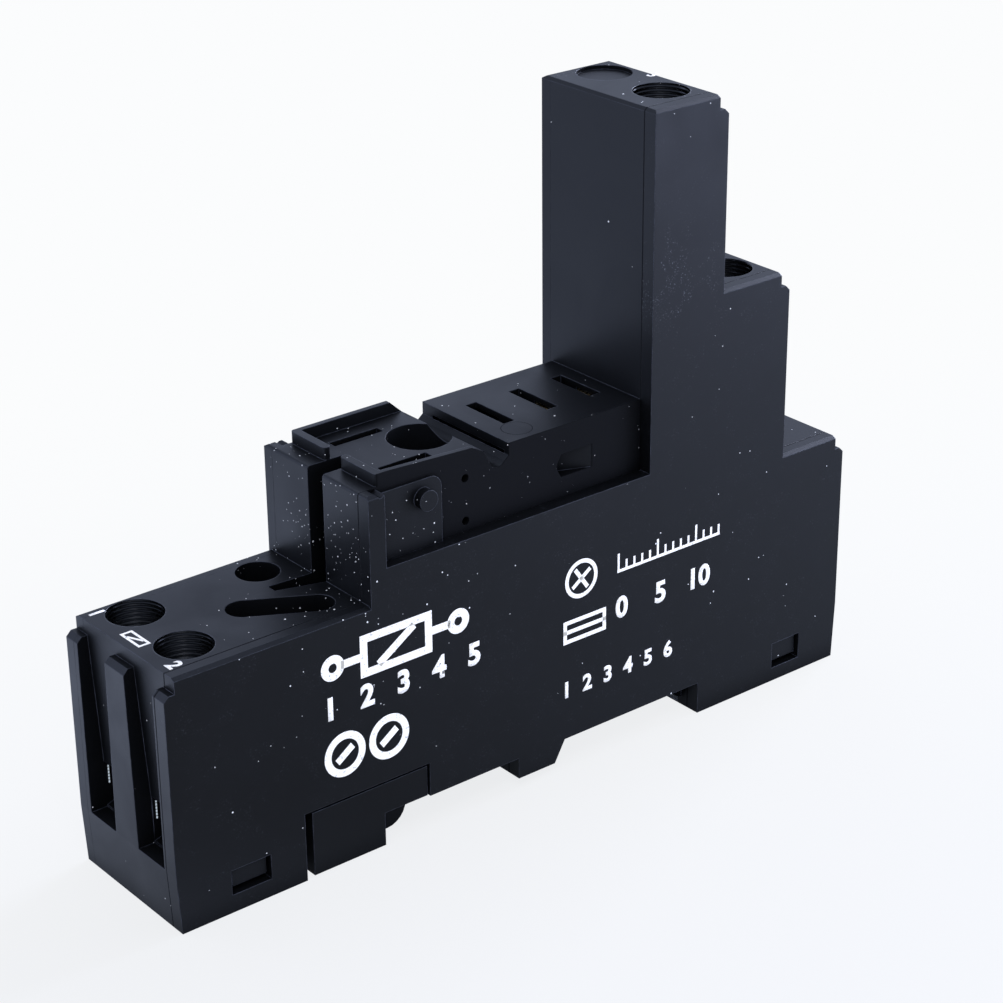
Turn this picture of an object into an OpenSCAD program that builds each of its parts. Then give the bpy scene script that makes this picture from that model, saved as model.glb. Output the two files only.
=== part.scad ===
// Slim plug-in relay socket for a 35 mm rail, with stepped screw terminals.
// X runs along the socket from the coil end, Y across it from the cover side, Z up from the base.

/* [Overall] */
// Length from the coil end to the contact end
length = 80.6; // [79:0.1:86]
// Width across both side faces
width = 15.8; // [15.6:0.1:18]
// Height of the tower
height = 63.5; // [62:0.1:70]

/* [Steps] */
// Height of the coil terminal step
coil_top = 24.9; // [24:0.1:26]
// Height of the floor that the relay sits on
seat_z = 35.4; // [34.5:0.1:38]
// Height of the lowest contact terminal step
low_top = 25.1; // [24:0.1:26]
// Height of the middle contact terminal step
mid_top = 44.4; // [43.5:0.1:45]
// Where the relay seat starts
seat_x0 = 21.6; // [21.2:0.1:22]
// Where the tower starts
tower_x0 = 54.4; // [54:0.1:55]
// End of the tower
tower_x1 = 63.4; // [63:0.1:64]
// End of the middle step
mid_x1 = 72.1; // [71.6:0.1:73]

/* [End faces] */
// How far the ears and ribs stand out from the end faces
ear_out = 1.1; // [0.8:0.1:1.4]
// Thickness of the two outer ears
ear_t = 1.8; // [1.6:0.1:2]
// How far the ears end below the top
ear_drop = 1.4; // [1:0.1:2]
// Width of the middle rib at its top
rib_top_w = 2.9; // [2.5:0.1:3.4]
// Width of the middle rib at its foot
rib_foot_w = 3.7; // [3.5:0.1:4]
// Extra depth of the wire channel at its window
channel_fall = 0.6; // [0.3:0.1:0.8]
// Set-back of the end block at the base
block_draft = 0.3; // [0:0.1:0.6]

/* [Terminals] */
// Wall between a clamp's chamber and the side of the moulding
row_wall = 0.57; // [0.4:0.01:0.7]
// Screw axis of the three lowest terminals from their end face
foot_screw_in = 5.2; // [5:0.1:5.6]
// Screw axis of the tower and middle terminals from their end face
step_screw_in = 4.1; // [4:0.1:4.3]
// Radius of the screwdriver access bores
access_r = 2.65; // [2.5:0.05:2.7]
// Depth of the screwdriver access bores
access_depth = 3.3; // [2.5:0.1:4]
// Bottom of the wire window below the step's top
window_low = 19.0; // [18.8:0.1:19.2]
// Height of the wire window
window_h = 4.7; // [4.5:0.1:5]
// Length of the clamp cage along the socket
cage_len = 4.1; // [4:0.1:4.4]
// Width of the clamp cage
cage_w = 5.0; // [4.6:0.1:5]
// Height of the clamp cage
cage_h = 7.1; // [6.8:0.1:7.2]
// Wall of the clamp cage
cage_wall = 0.8; // [0.6:0.1:0.9]
// Threaded roof of the clamp cage
cage_roof = 2.0; // [1.6:0.1:2.2]
// Bottom of the open clamp cage below the step's top
cage_low = 17.9; // [17.7:0.1:18]
// Travel of the clamp cage
cage_travel = 3.0; // [2:0.1:3]
// Radius of the screw's thread
thread_r = 1.5; // [1.2:0.05:1.6]
// Radius of the screw's head
head_r = 2.72; // [2.6:0.02:2.74]
// Height of the screw's head
head_h = 2.0; // [1.6:0.1:2]

/* [Contacts] */
// Thickness of the brass strips
strip_t = 0.8; // [0.6:0.1:0.9]
// Thickness of the spring leaves
leaf_t = 0.3; // [0.2:0.05:0.35]
// Gap between two spring leaves
leaf_gap = 0.5; // [0.4:0.05:0.6]
// Distance from the coil pin slots to the middle of the socket
coil_pin_y = 3.65; // [3.5:0.05:3.7]
// Middle of the coil pin slots
coil_pin_x = 28.8; // [28.6:0.1:29]
// Middle of the first contact slot
contact_x0 = 41.6; // [41.4:0.1:42]
// Distance between the contact slots
contact_pitch = 5.2; // [5:0.1:5.3]
// Length of a contact slot
contact_slot_l = 5.7; // [5.5:0.1:6]
// Width of a contact slot
contact_slot_w = 1.3; // [1.2:0.1:1.5]
// Length of a coil pin slot
coil_slot_l = 5.4; // [5:0.1:5.6]
// Width of a coil pin slot
coil_slot_w = 1.0; // [0.9:0.1:1.2]

/* [Relay seat] */
// Depth of the recess in each side of the relay seat
side_recess = 1.5; // [1.3:0.1:1.7]
// Start of the side recess
recess_x0 = 23.4; // [23:0.1:24]
// Bottom of the side recess
recess_z = 28.2; // [27:0.1:29]
// Height of the rim around the coil end of the seat
rim_h = 1.2; // [1:0.1:1.4]
// Thickness of that rim's front bars
rim_t = 0.8; // [0.7:0.1:1]
// Thickness of that rim's side bars
rim_side_t = 0.55; // [0.4:0.05:0.7]
// Width of the slot in the front of the seat
front_slot_w = 2.3; // [2:0.1:2.6]
// Depth of that slot
front_slot_d = 4.0; // [3:0.1:4.4]
// Bottom of the valley across the seat
valley_z = 33.4; // [33:0.1:34]
// End of the coil part of the seat floor
valley_x0 = 35.6; // [35.2:0.1:36]
// Start of the raised contact part of the seat
valley_x1 = 38.5; // [38:0.1:39]
// Radius of the pivots for a relay clip
pivot_r = 1.0; // [0.8:0.05:1.2]
// Length of those pivots
pivot_l = 0.9; // [0.6:0.1:1]
// Place of the pivots along the socket
pivot_x = 28.4; // [28:0.1:29]
// Height of the pivots
pivot_z = 33.1; // [32.5:0.1:33.3]
// Radius of the mounting screw's counterbore
counterbore_r = 3.05; // [2.8:0.05:3.1]
// Radius of the mounting screw hole
mount_r = 1.7; // [1.5:0.1:2.1]
// Place of the mounting screw hole
mount_x = 33.2; // [33:0.1:33.5]

/* [Rail side] */
// Height of the channel over the rail
rail_z = 3.4; // [3:0.1:4]
// Inner end of the coil foot
foot_x = 27.6; // [27.2:0.1:28]
// Fixed end of the rail channel
rail_stop_x = 61.3; // [61:0.1:61.8]
// How far the fixed nose reaches under the rail
nose_reach = 1.4; // [1:0.1:1.8]
// Start of the clip's pocket
pocket_x0 = 13.6; // [13.2:0.1:14]
// Height of the clip's pocket
pocket_h = 6.9; // [6.5:0.1:7.2]
// Travel of the rail clip
clip_travel = 0.8; // [0.6:0.05:0.9]
// Clearance between the rail clip and the coil foot
clip_gap = 0.2; // [0.1:0.05:0.4]

/* [Cover] */
// Thickness of the side cover
cover_t = 1.5; // [1.2:0.1:1.7]
// Width of the chamfer along the top edges
chamfer_w = 0.45; // [0.3:0.05:0.7]
// Height of the chamfer along the top edges
chamfer_h = 0.25; // [0.1:0.05:0.4]
// Radius of the cover's pegs
peg_r = 1.1; // [0.8:0.1:1.3]

/* [Fits] */
// Running clearance of the screws, cages and pegs
run_gap = 0.08; // [0.04:0.01:0.1]
// Clearance round strips and cages in the moulding
seat_gap = 0.15; // [0.1:0.01:0.2]

/* [Hidden] */
$fn = 48;
eps = 0.01;
black = [0.07, 0.07, 0.08];
brass = [0.80, 0.66, 0.36];
steel = [0.72, 0.73, 0.75];
zinc = [0.62, 0.63, 0.66];
// Chamber that a cage slides in
chamber_len = cage_len + 2 * seat_gap;
chamber_w = cage_w + 2 * seat_gap;
// Rows of screws, each beside its own wall
near_y = cover_t + row_wall + chamber_w / 2;
far_y = width - row_wall - chamber_w / 2;
mid_y = width / 2;
// Each terminal: its end face, whether it faces the contact end, top, row and screw depth
coil_far_t = [0, false, coil_top, far_y, foot_screw_in];
coil_near_t = [0, false, coil_top, near_y, foot_screw_in];
tower_t = [tower_x1, true, height, near_y, step_screw_in];
middle_t = [mid_x1, true, mid_top, near_y, step_screw_in];
low_t = [length, true, low_top, far_y, foot_screw_in];
TERMINALS = [coil_far_t, coil_near_t, tower_t, middle_t, low_t];
// Each end face: its place, direction and top, and the foot that its lower block stands on
FACES = [
    [0, false, coil_top, 0],
    [tower_x1, true, height, mid_top],
    [mid_x1, true, mid_top, low_top],
    [length, true, low_top, 0]
];
// Steps: where each starts and ends, and its top
STEPS = [
    [0, seat_x0, coil_top],
    [seat_x0, recess_x0, seat_z],
    [tower_x0, tower_x1, height],
    [tower_x1, mid_x1, mid_top],
    [mid_x1, length, low_top]
];
// Rise of a chamber's floor over the sill of its wire window
sill_rise = 0.6;
// Length of the tool that cuts the wire channels
channel_reach = ear_out + channel_fall + 1;
// Depths below a step's top
wire_room = 3.4;
bar_low = cage_low - cage_wall - wire_room;
tip_low = bar_low - strip_t - run_gap;
head_low = 5.6;
neck_r = thread_r + 0.3;
// Room left over a fully risen cage
cage_room = 1.3;
chamber_top = cage_low - cage_h - cage_travel - cage_room;
// Strips: a tongue in the cage, a plate on edge and a riser or pad under the contact
tongue_w = cage_w - 2 * cage_wall - 0.4;
tongue_tip = 0.3;
tongue_neck = 1.1;
pin_out = coil_pin_y + leaf_gap / 2 + leaf_t;
near_plate_y = mid_y - pin_out - strip_t;
far_plate_y = mid_y + 2 * coil_pin_y - pin_out - strip_t;
riser_w = 3.6;
run_h = 3.6;
drop_w = 3.0;
coil_clip_x = coil_pin_x - 2.4;
riser_top = recess_z - 0.6;
foot_z = 26.0;
low_foot_z = 24.8;
mid_run_z = 18;
coil_bar_z = coil_top - bar_low;
low_bar_z = low_top - bar_low + strip_t;
tower_bar_z = height - bar_low + strip_t;
tower_drop_x = tower_x0 + 1;
tower_neck_z = height - cage_low - 1.2;
mid_drop_x = mid_x1 - step_screw_in - chamber_len / 2 - 3.2;
coil_run_x = foot_screw_in + chamber_len / 2 + seat_gap;
low_run_x = length - foot_screw_in - chamber_len / 2 - seat_gap;
low_pin_x = contact_x0;
mid_pin_x = contact_x0 + contact_pitch;
tower_pin_x = contact_x0 + 2 * contact_pitch;
// Flat parts of each strip: start, foot, end and top
COIL_PLATES = [
    [coil_run_x, coil_bar_z, coil_clip_x + riser_w, coil_bar_z + run_h],
    [coil_clip_x, coil_bar_z, coil_clip_x + riser_w, riser_top]
];
TOWER_PLATES = [
    [tower_drop_x, tower_neck_z, tower_drop_x + 1.4, tower_bar_z],
    [tower_drop_x, foot_z - run_h, tower_drop_x + drop_w, tower_neck_z],
    [tower_pin_x - riser_w / 2, foot_z - run_h, tower_drop_x + drop_w, foot_z]
];
MIDDLE_PLATES = [
    [mid_drop_x, mid_run_z, mid_drop_x + 2.5, mid_top - bar_low + strip_t],
    [mid_pin_x - riser_w / 2, mid_run_z, mid_drop_x + 2.5, mid_run_z + run_h],
    [mid_pin_x - riser_w / 2, mid_run_z, mid_pin_x + riser_w / 2, foot_z]
];
LOW_PLATES = [
    [low_pin_x - riser_w / 2, low_bar_z - run_h, low_run_x, low_bar_z],
    [low_pin_x - riser_w / 2, low_bar_z - run_h, low_pin_x + riser_w / 2, low_foot_z]
];
// Contact slots in the seat and the spring contacts below them
seat_roof = 0.7;
contact_y = 8.1;
clip_l = 3.3;
coil_clip_l = 3.8;
clip_foot = 1.2;
clip_top = seat_z - seat_roof;
low_clip_top = clip_top - 1.8;
near_clip_y = contact_y - contact_slot_l / 2;
far_clip_y = far_plate_y + strip_t - clip_l;
// Counterbore over the rail channel
counterbore_z = rail_z + 2.8;
// Noses that hook under the rail
nose_top = rail_z - 1.1;
nose_y0 = 2.4;
nose_y1 = 12.6;
nose_r = 1.4;
hook_r = nose_top - 0.1;
hook_back = 0.9;
// Block in the middle of the rail channel, with one sloping end
block_x0 = 38.2;
block_x1 = 43.9;
block_z = 1.2;
block_slope = 1.25;
// Body and arm of the rail clip, and the gap behind it when it is pushed right back
clip_stop = 0.1;
clip_x0 = pocket_x0 + clip_travel + clip_stop;
clip_body_l = 8.0;
clip_far_y = width - cover_t - 0.3;
clip_top_z = pocket_h - 0.3;
leaf_band = 0.9;
leaf_space = 1.9;
// Open features on the coil step
slot_a = [12.9, 7.1];
slot_b = [18.5, 3.9];
slot_r = 1.65;
slot_depth = 8;
probe_at = [18, 12.4];
probe_r = 2.07;
groove_depth = 1.5;
groove_x0 = 17;
// Rounding of the seat's front edge, and the notch in the top of each side wall behind it
seat_r = 0.3;
post_notch = 0.35;
// Start of the rim round the seat, its rounded corners and its height where the near bar ends
rim_x0 = recess_x0 + 0.1;
rim_r = 0.35;
near_rim_end = 0.7;
// Pads and pockets in the side recesses
pad_x1 = 30.5;
pad_z1 = seat_z - 0.5;
pad_r = 1.2;
pad_out = 0.35;
near_floor = max(cover_t, side_recess);
far_floor = width - side_recess;
dimple_x = 33.4;
dimple_r = 0.4;
wedge_x = 45.3;
wedge_z = 31.4;
wedge_h = 2.3;
wedge_l = 3.2;
wedge_point = 1.3;
wedge_d = 1.3;
// Snap windows of the cover: start, foot, end and top
WINDOWS = [[5.6, 1.8, 9.8, 4.3], [length - 9, 1.5, length - 5.2, 4.3]];
lug_y = 0.4;
lug_gap = 0.3;
// Pegs of the cover
PEGS = [[11, 8.3], [37.6, 20], [tower_x1 - 2.8, 28.6], [length - 4, 20.5]];
peg_l = 2.5;
// Hollows behind the cover: start, foot, end, top and depth
HOLLOWS = [
    [59.6, 31.5, 61.6, 42.5, 9.5],
    [66.2, 14.2, 72.6, 23.8, 9.0],
    [46, 5, 58.5, 7.2, 12.5],
    [51, 14, 61, 16.4, 12.5]
];

module placed() { translate([-length / 2, -width / 2, 0]) children(); }

// A box between two corners, grown by g on every side
module slab(a, b, g = 0) {
    translate([a[0] - g, a[1] - g, a[2] - g])
        cube([b[0] - a[0] + 2 * g, b[1] - a[1] + 2 * g, b[2] - a[2] + 2 * g]);
}

// An outline in X and Z, drawn through from y0 to y1
module side_prism(points, y0, y1) {
    translate([0, y1, 0]) rotate([90, 0, 0]) linear_extrude(y1 - y0) polygon(points);
}

// An outline in Y and Z, drawn through from x0 to x1
module cross_prism(points, x0, x1) {
    translate([x0, 0, 0]) rotate([90, 0, 90]) linear_extrude(x1 - x0) polygon(points);
}

// A round bar across the socket
module cross_bar(x, z, r, y0, y1) {
    translate([x, y1, z]) rotate([90, 0, 0]) cylinder(r = r, h = y1 - y0);
}

// A round well from a floor up through the step above
module well(at, r, floor_z) { translate([at[0], at[1], floor_z]) cylinder(r = r, h = height); }

// Points of a quarter circle about a corner, from angle a
function quarter(x, z, r, a) = [for (i = [0:6]) [x + r * cos(a + 15 * i), z + r * sin(a + 15 * i)]];

// Quarter-round tip of a nose that points along X when way is 1 and back when it is -1
function quarter_nose(x, r, way) =
    [for (i = [0:6]) [x + way * r * cos(15 * i), nose_top - r * sin(15 * i)]];

// Children are drawn with X running inwards from an end face
module at_face(face) {
    translate([face[0], 0, 0]) {
        if (face[1]) mirror([1, 0, 0]) children();
        else children();
    }
}

// Distance in from an end face turned into a place along the socket
function along(t, d) = t[1] ? t[0] - d : t[0] + d;

// Outline of the whole socket from the side, with its steps and both feet
module side_outline(y0, y1) {
    side_prism(concat([
        [0, 0], [foot_x, 0], [foot_x, rail_z], [block_x0, rail_z], [block_x0, block_z],
        [block_x1 - block_slope, block_z], [block_x1, rail_z], [rail_stop_x, rail_z], [rail_stop_x, 0],
        [length, 0], [length, low_top], [mid_x1, low_top], [mid_x1, mid_top], [tower_x1, mid_top],
        [tower_x1, height], [tower_x0 + seat_r, height], [tower_x0, height - seat_r], [tower_x0, seat_z]
    ], quarter(seat_x0 + seat_r, seat_z - seat_r, seat_r, 90), [[seat_x0, coil_top], [0, coil_top]]), y0, y1);
}

// What the side walls lose at an end face: the step above the ears and the draft of the block
module face_trim(face) {
    ear_top = face[2] - ear_drop;
    block_top = face[2] - window_low;
    at_face(face) {
        slab([-1, -1, ear_top], [ear_out, width + 1, face[2] + 1]);
        side_prism([[-eps, ear_top - 0.5], [0.5, ear_top + eps], [-eps, ear_top + eps]], -1, width + 1);
        if (face[3] == 0) {
            side_prism([[-1, -1], [block_draft, -1], [block_draft, 0], [0, block_top], [-1, block_top]],
                -1, width + 1);
        }
    }
}

// Chamfers along the outer top edges of the steps
module top_chamfers() {
    for (s = STEPS) {
        cross_prism([[-eps, s[2] - chamfer_h], [chamfer_w, s[2] + eps], [-eps, s[2] + eps]], s[0], s[1]);
        cross_prism([[width + eps, s[2] - chamfer_h], [width + eps, s[2] + eps],
            [width - chamfer_w, s[2] + eps]], s[0], s[1]);
    }
}

// The two wire channels of an end face, either side of its tapered rib
module wire_channels(face) {
    low = max(face[2] - window_low, face[3]);
    high = face[2] + 1;
    fall = ear_out + (face[1] ? 0 : channel_fall);
    at_face(face) intersection() {
        side_prism([[-1, low], [fall, low], [fall, face[2] - window_low + window_h],
            [ear_out, face[2] - ear_drop], [ear_out, high], [-1, high]], 0, width);
        union() {
            cross_prism([[ear_t, low], [mid_y - rib_foot_w / 2, low],
                [mid_y - rib_top_w / 2, high], [ear_t, high]], -eps, channel_reach);
            cross_prism([[mid_y + rib_foot_w / 2, low], [width - ear_t, low],
                [width - ear_t, high], [mid_y + rib_top_w / 2, high]], -eps, channel_reach);
        }
    }
}

// The well of one terminal: access bore, head seat, neck, clamp chamber and wire window
module terminal_well(t) {
    top = t[2];
    inner = t[4] - chamber_len / 2;
    window_low_z = top - window_low;
    chamber_low = window_low_z + sill_rise;
    window_top_z = window_low_z + window_h;
    near_row = t[3] < mid_y;
    window_y0 = near_row ? ear_t : mid_y + rib_foot_w / 2;
    window_y1 = near_row ? mid_y - rib_foot_w / 2 : width - ear_t;
    at_face(t) {
        translate([t[4], t[3], top]) {
            translate([0, 0, -access_depth]) cylinder(r = access_r, h = access_depth + 1);
            translate([0, 0, -head_low]) cylinder(r = head_r + run_gap, h = head_low - access_depth + eps);
            translate([0, 0, -chamber_top - eps]) cylinder(r = neck_r, h = chamber_top - head_low + 2 * eps);
        }
        slab([inner, t[3] - chamber_w / 2, chamber_low],
            [inner + chamber_len, t[3] + chamber_w / 2, top - chamber_top]);
        side_prism([[-eps, window_low_z], [ear_out, window_low_z], [inner + eps, chamber_low],
            [inner + eps, window_top_z], [-eps, window_top_z]], window_y0, window_y1);
    }
}

// Relay seat: side recesses, slotted front, undercut rim, ridges, valley and plateau lip
module seat_cuts() {
    slab([recess_x0, -1, recess_z], [tower_x0, near_floor, seat_z + 5]);
    slab([recess_x0, far_floor, recess_z], [tower_x0, width + 1, seat_z + 5]);
    // Slot down the middle of the front
    slab([seat_x0 - eps, mid_y - front_slot_w / 2, coil_top - groove_depth],
        [seat_x0 + front_slot_d, mid_y + front_slot_w / 2, seat_z + rim_h + 1]);
    // Valley between the coil floor and the plateau
    side_prism([[valley_x0, seat_z + 1], [valley_x0, seat_z], [valley_x1 - 2.15, valley_z + 0.47],
        [valley_x1 - 0.5, valley_z + 0.4], [valley_x1, valley_z + 0.8], [valley_x1, seat_z + 1]],
        near_floor, far_floor);
    cross_bar(valley_x1 - 1.3, valley_z + 1, 1, near_floor, far_floor);
    // Groove under the plateau's front lip
    slab([valley_x1 - eps, near_floor + 0.7, seat_z - 2.1], [valley_x1 + 0.8, far_floor - 1.5, seat_z - 0.9]);
    // Panel screw
    translate([mount_x, mid_y, counterbore_z]) cylinder(r = counterbore_r, h = seat_z);
    translate([mount_x, mid_y, 0]) cylinder(r = mount_r, h = seat_z);
}

// Notches in the tops of the side walls behind the seat's front edge
module post_notches(y0, y1) {
    side_prism([[recess_x0 - 0.9, seat_z + eps], [recess_x0 - 0.55, seat_z - post_notch],
        [recess_x0 - 0.3, seat_z - post_notch], [recess_x0 + eps, seat_z - 0.1],
        [recess_x0 + eps, seat_z + eps]], y0, y1);
}

// Rim round the coil end of the seat: an L on each side of the front slot
module seat_rims() {
    rim_top = seat_z + rim_h;
    ridge_end = valley_x0 - 1.3;
    bar_end = mid_y - front_slot_w / 2;
    for (side = [0, 1]) {
        outer = side ? width - far_floor : near_floor;
        low_end = side ? rim_h : near_rim_end;
        intersection() {
            translate([0, side ? width : 0, 0]) mirror([0, side, 0])
                translate([0, 0, seat_z - eps]) linear_extrude(rim_h + 1) polygon(concat(
                    quarter(rim_x0 + rim_r, outer + rim_r, rim_r, 180),
                    [[valley_x0, outer], [valley_x0, outer + rim_side_t],
                        [rim_x0 + rim_t, outer + rim_side_t]],
                    quarter(rim_x0 + rim_t - rim_r, bar_end - rim_r, rim_r, 0),
                    quarter(rim_x0 + rim_r, bar_end - rim_r, rim_r, 90)
                ));
            side_prism([[rim_x0 - 1, seat_z - 1], [valley_x0, seat_z - 1], [valley_x0, seat_z + eps],
                [ridge_end, seat_z + low_end], [rim_x0 + rim_t + 0.5, rim_top],
                [rim_x0 - 1, rim_top]], 0, width);
        }
    }
}

// Pads and pivots that a relay clip turns on, in both side recesses
module recess_pads() {
    for (side = [0, 1]) {
        y0 = side ? far_floor - eps : near_floor - pad_out;
        y1 = side ? far_floor + pad_out : near_floor + eps;
        side_prism(concat([[recess_x0, pad_z1], [recess_x0, recess_z], [pad_x1, recess_z]],
            quarter(pad_x1 - pad_r, pad_z1 - pad_r, pad_r, 0)), y0, y1);
        cross_bar(pivot_x, pivot_z, pivot_r, side ? y0 : y0 - pivot_l, side ? y1 + pivot_l : y1);
    }
}

// Dimples and ramped pockets in both side recesses
module recess_pockets() {
    for (side = [0, 1]) {
        y = side ? far_floor : near_floor;
        out = side ? 1 : -1;
        for (z = [recess_z + 1, pad_z1 - 1.5]) cross_bar(dimple_x, z, dimple_r, y - 1.2, y + 1.2);
        intersection() {
            side_prism([[wedge_x - wedge_point, wedge_z], [wedge_x - wedge_point / 2, wedge_z - wedge_h / 2],
                [wedge_x + wedge_l, wedge_z - wedge_h / 2], [wedge_x + wedge_l, wedge_z + wedge_h / 2],
                [wedge_x - wedge_point / 2, wedge_z + wedge_h / 2]], y - 2, y + 2);
            translate([0, 0, wedge_z - wedge_h]) linear_extrude(2 * wedge_h) polygon([
                [wedge_x - 2, y + out], [wedge_x + wedge_l, y + out], [wedge_x + wedge_l, y],
                [wedge_x, y - out * wedge_d], [wedge_x - 2, y - out * wedge_d]
            ]);
        }
    }
}

// Slots in the seat floor for the relay's blades, and the rooms of the contacts below
module contact_rooms() {
    for (side = [-1, 1]) {
        y = mid_y + side * coil_pin_y;
        slab([coil_pin_x - coil_slot_l / 2, y - coil_slot_w / 2, foot_z + 1.2],
            [coil_pin_x + coil_slot_l / 2, y + coil_slot_w / 2, seat_z + 1]);
        slab([coil_clip_x, y - 0.9, foot_z],
            [coil_clip_x + coil_clip_l, y + 0.9, seat_z - seat_roof], seat_gap);
    }
    for (i = [0, 1, 2]) {
        x = contact_x0 + i * contact_pitch;
        foot = i == 0 ? low_foot_z : foot_z;
        y0 = i == 0 ? far_clip_y : near_clip_y;
        slab([x - contact_slot_w / 2, contact_y - contact_slot_l / 2, foot_z + 1.2],
            [x + contact_slot_w / 2, contact_y + contact_slot_l / 2, seat_z + 1]);
        slab([x - clip_foot, y0, foot], [x + clip_foot, y0 + clip_l, seat_z - seat_roof], seat_gap);
    }
}

// Hooked nose of the fixed end of the rail channel
module stop_nose() {
    side_prism(concat([[rail_stop_x + 1, nose_top - nose_r], [rail_stop_x + 1, nose_top]],
        quarter_nose(rail_stop_x - nose_reach + nose_r, nose_r, -1)), nose_y0, nose_y1);
}

// Flat parts, tongue and pad of a strip; with reach they are cut right out to the cover side
module strip_shape(t, plate_y, plates, pad, g, reach) {
    bar = t[2] - bar_low;
    y1 = t[3] + tongue_w / 2;
    back0 = along(t, t[4] + chamber_len / 2 + seat_gap);
    back1 = along(t, t[4] + chamber_len / 2 + tongue_neck);
    near = reach ? 0 : plate_y;
    for (r = plates) slab([r[0], near, r[1]], [r[2], plate_y + strip_t, r[3]], g);
    slab([min(back0, back1), near, bar], [max(back0, back1), y1, bar + strip_t], g);
    if (len(pad) > 0) {
        slab([pad[0] - riser_w / 2, reach ? 0 : pad[1], pad[3] - strip_t],
            [pad[0] + riser_w / 2, pad[2], pad[3]], g);
    }
    if (!reach) {
        tip = along(t, t[4] - cage_len / 2 + tongue_tip);
        slab([min(tip, back0) - eps, t[3] - tongue_w / 2, bar], [max(tip, back0) + eps, y1, bar + strip_t]);
    }
}

// The five strips by number, solid or as the slots they lie in
module strip(n, g = 0, reach = false) {
    if (n == 0) strip_shape(coil_far_t, far_plate_y, COIL_PLATES, [], g, reach);
    if (n == 1) strip_shape(coil_near_t, near_plate_y, COIL_PLATES, [], g, reach);
    if (n == 2) {
        strip_shape(tower_t, near_plate_y, TOWER_PLATES,
            [tower_pin_x, near_plate_y, near_clip_y + clip_l, foot_z], g, reach);
    }
    if (n == 3) {
        strip_shape(middle_t, near_plate_y, MIDDLE_PLATES,
            [mid_pin_x, near_plate_y, near_clip_y + clip_l, foot_z], g, reach);
    }
    if (n == 4) {
        strip_shape(low_t, far_plate_y, LOW_PLATES,
            [low_pin_x, far_clip_y, far_plate_y + strip_t, low_foot_z], g, reach);
    }
}

module housing() {
    color(black) placed() difference() {
        union() {
            difference() {
                side_outline(cover_t, width);
                seat_cuts();
                post_notches(far_floor, width + 1);
                for (face = FACES) {
                    face_trim(face);
                    wire_channels(face);
                }
                top_chamfers();
                recess_pockets();
                slab([pocket_x0, -1, -1], [foot_x + eps, far_floor, pocket_h]);
            }
            seat_rims();
            recess_pads();
            stop_nose();
            for (w = WINDOWS) {
                cross_prism([[cover_t + eps, w[1] + lug_gap], [lug_y + lug_gap, w[1] + lug_gap],
                    [lug_y, w[1] + 2 * lug_gap], [lug_y, w[3] - lug_gap],
                    [cover_t + eps, w[3] - lug_gap]], w[0] + lug_gap, w[2] - lug_gap);
            }
        }
        for (t = TERMINALS) terminal_well(t);
        for (n = [0:4]) strip(n, seat_gap, true);
        contact_rooms();
        // Slot, probe hole and groove in the coil step
        for (c = [slot_a, slot_b]) well(c, slot_r, coil_top - slot_depth);
        well(probe_at, probe_r, coil_top - slot_depth);
        translate([slot_a[0], slot_a[1], coil_top - slot_depth])
            rotate([0, 0, atan2(slot_b[1] - slot_a[1], slot_b[0] - slot_a[0])])
            translate([0, eps - slot_r, 0]) cube([norm(slot_b - slot_a), 2 * (slot_r - eps), slot_depth + 1]);
        translate([0, 0, coil_top - groove_depth]) linear_extrude(groove_depth + 1) polygon([
            [groove_x0, 8.2], [seat_x0 + eps, mid_y - front_slot_w / 2],
            [seat_x0 + eps, mid_y + front_slot_w / 2], [groove_x0, 9.3]
        ]);
        // Blank well of the tower
        translate([tower_x1 - step_screw_in, far_y, height - 0.4]) cylinder(r = access_r, h = 1);
        for (p = PEGS) cross_bar(p[0], p[1], peg_r + run_gap, 0, cover_t + peg_l + 0.3);
        for (h = HOLLOWS) slab([h[0], 0, h[1]], [h[2], cover_t + h[4], h[3]]);
    }
}

module side_cover() {
    color(black) placed() union() {
        difference() {
            side_outline(0, cover_t);
            slab([recess_x0, -1, recess_z], [tower_x0, cover_t + 1, seat_z + 5]);
            slab([pocket_x0, -1, -1], [foot_x + eps, cover_t + 1, pocket_h]);
            for (face = FACES) face_trim(face);
            post_notches(-1, cover_t + 1);
            top_chamfers();
            for (w = WINDOWS) slab([w[0], -1, w[1]], [w[2], cover_t + 1, w[3]]);
        }
        for (p = PEGS) cross_bar(p[0], p[1], peg_r, cover_t - eps, cover_t + peg_l);
    }
}

module rail_clip() {
    body_x1 = clip_x0 + clip_body_l;
    arm_x1 = foot_x - clip_gap;
    tip_x = arm_x1 - hook_back;
    color(black) placed() union() {
        difference() {
            side_prism([[clip_x0, 0.1], [body_x1, 0.1], [body_x1, rail_z + 0.1], [arm_x1, rail_z + 0.1],
                [arm_x1, clip_top_z], [clip_x0, clip_top_z]], 0.15, clip_far_y);
            slab([clip_x0 + leaf_band, 1.2, 1.3],
                [clip_x0 + leaf_band + leaf_space, width, clip_top_z - 1.2]);
        }
        side_prism(concat([[body_x1 - eps, nose_top - hook_r], [body_x1 - eps, rail_z + 0.1 + eps],
            [tip_x - 1, rail_z + 0.1 + eps], [tip_x - 1, nose_top]], quarter_nose(tip_x - hook_r, hook_r, 1)),
            nose_y0, nose_y1);
    }
}

// Clamp screw with a slotted cross recess
module clamp_screw(t) {
    seat = t[2] - head_low + run_gap;
    color(zinc) placed() translate([along(t, t[4]), t[3], 0]) difference() {
        union() {
            translate([0, 0, seat]) cylinder(r = head_r, h = head_h);
            translate([0, 0, t[2] - tip_low]) cylinder(r = thread_r, h = seat - t[2] + tip_low + eps);
        }
        translate([-head_r - 1, -0.4, seat + head_h - 0.9]) cube([2 * head_r + 2, 0.8, 2]);
        translate([-0.45, -1.6, seat + head_h - 1.2]) cube([0.9, 3.2, 2]);
    }
}

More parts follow.
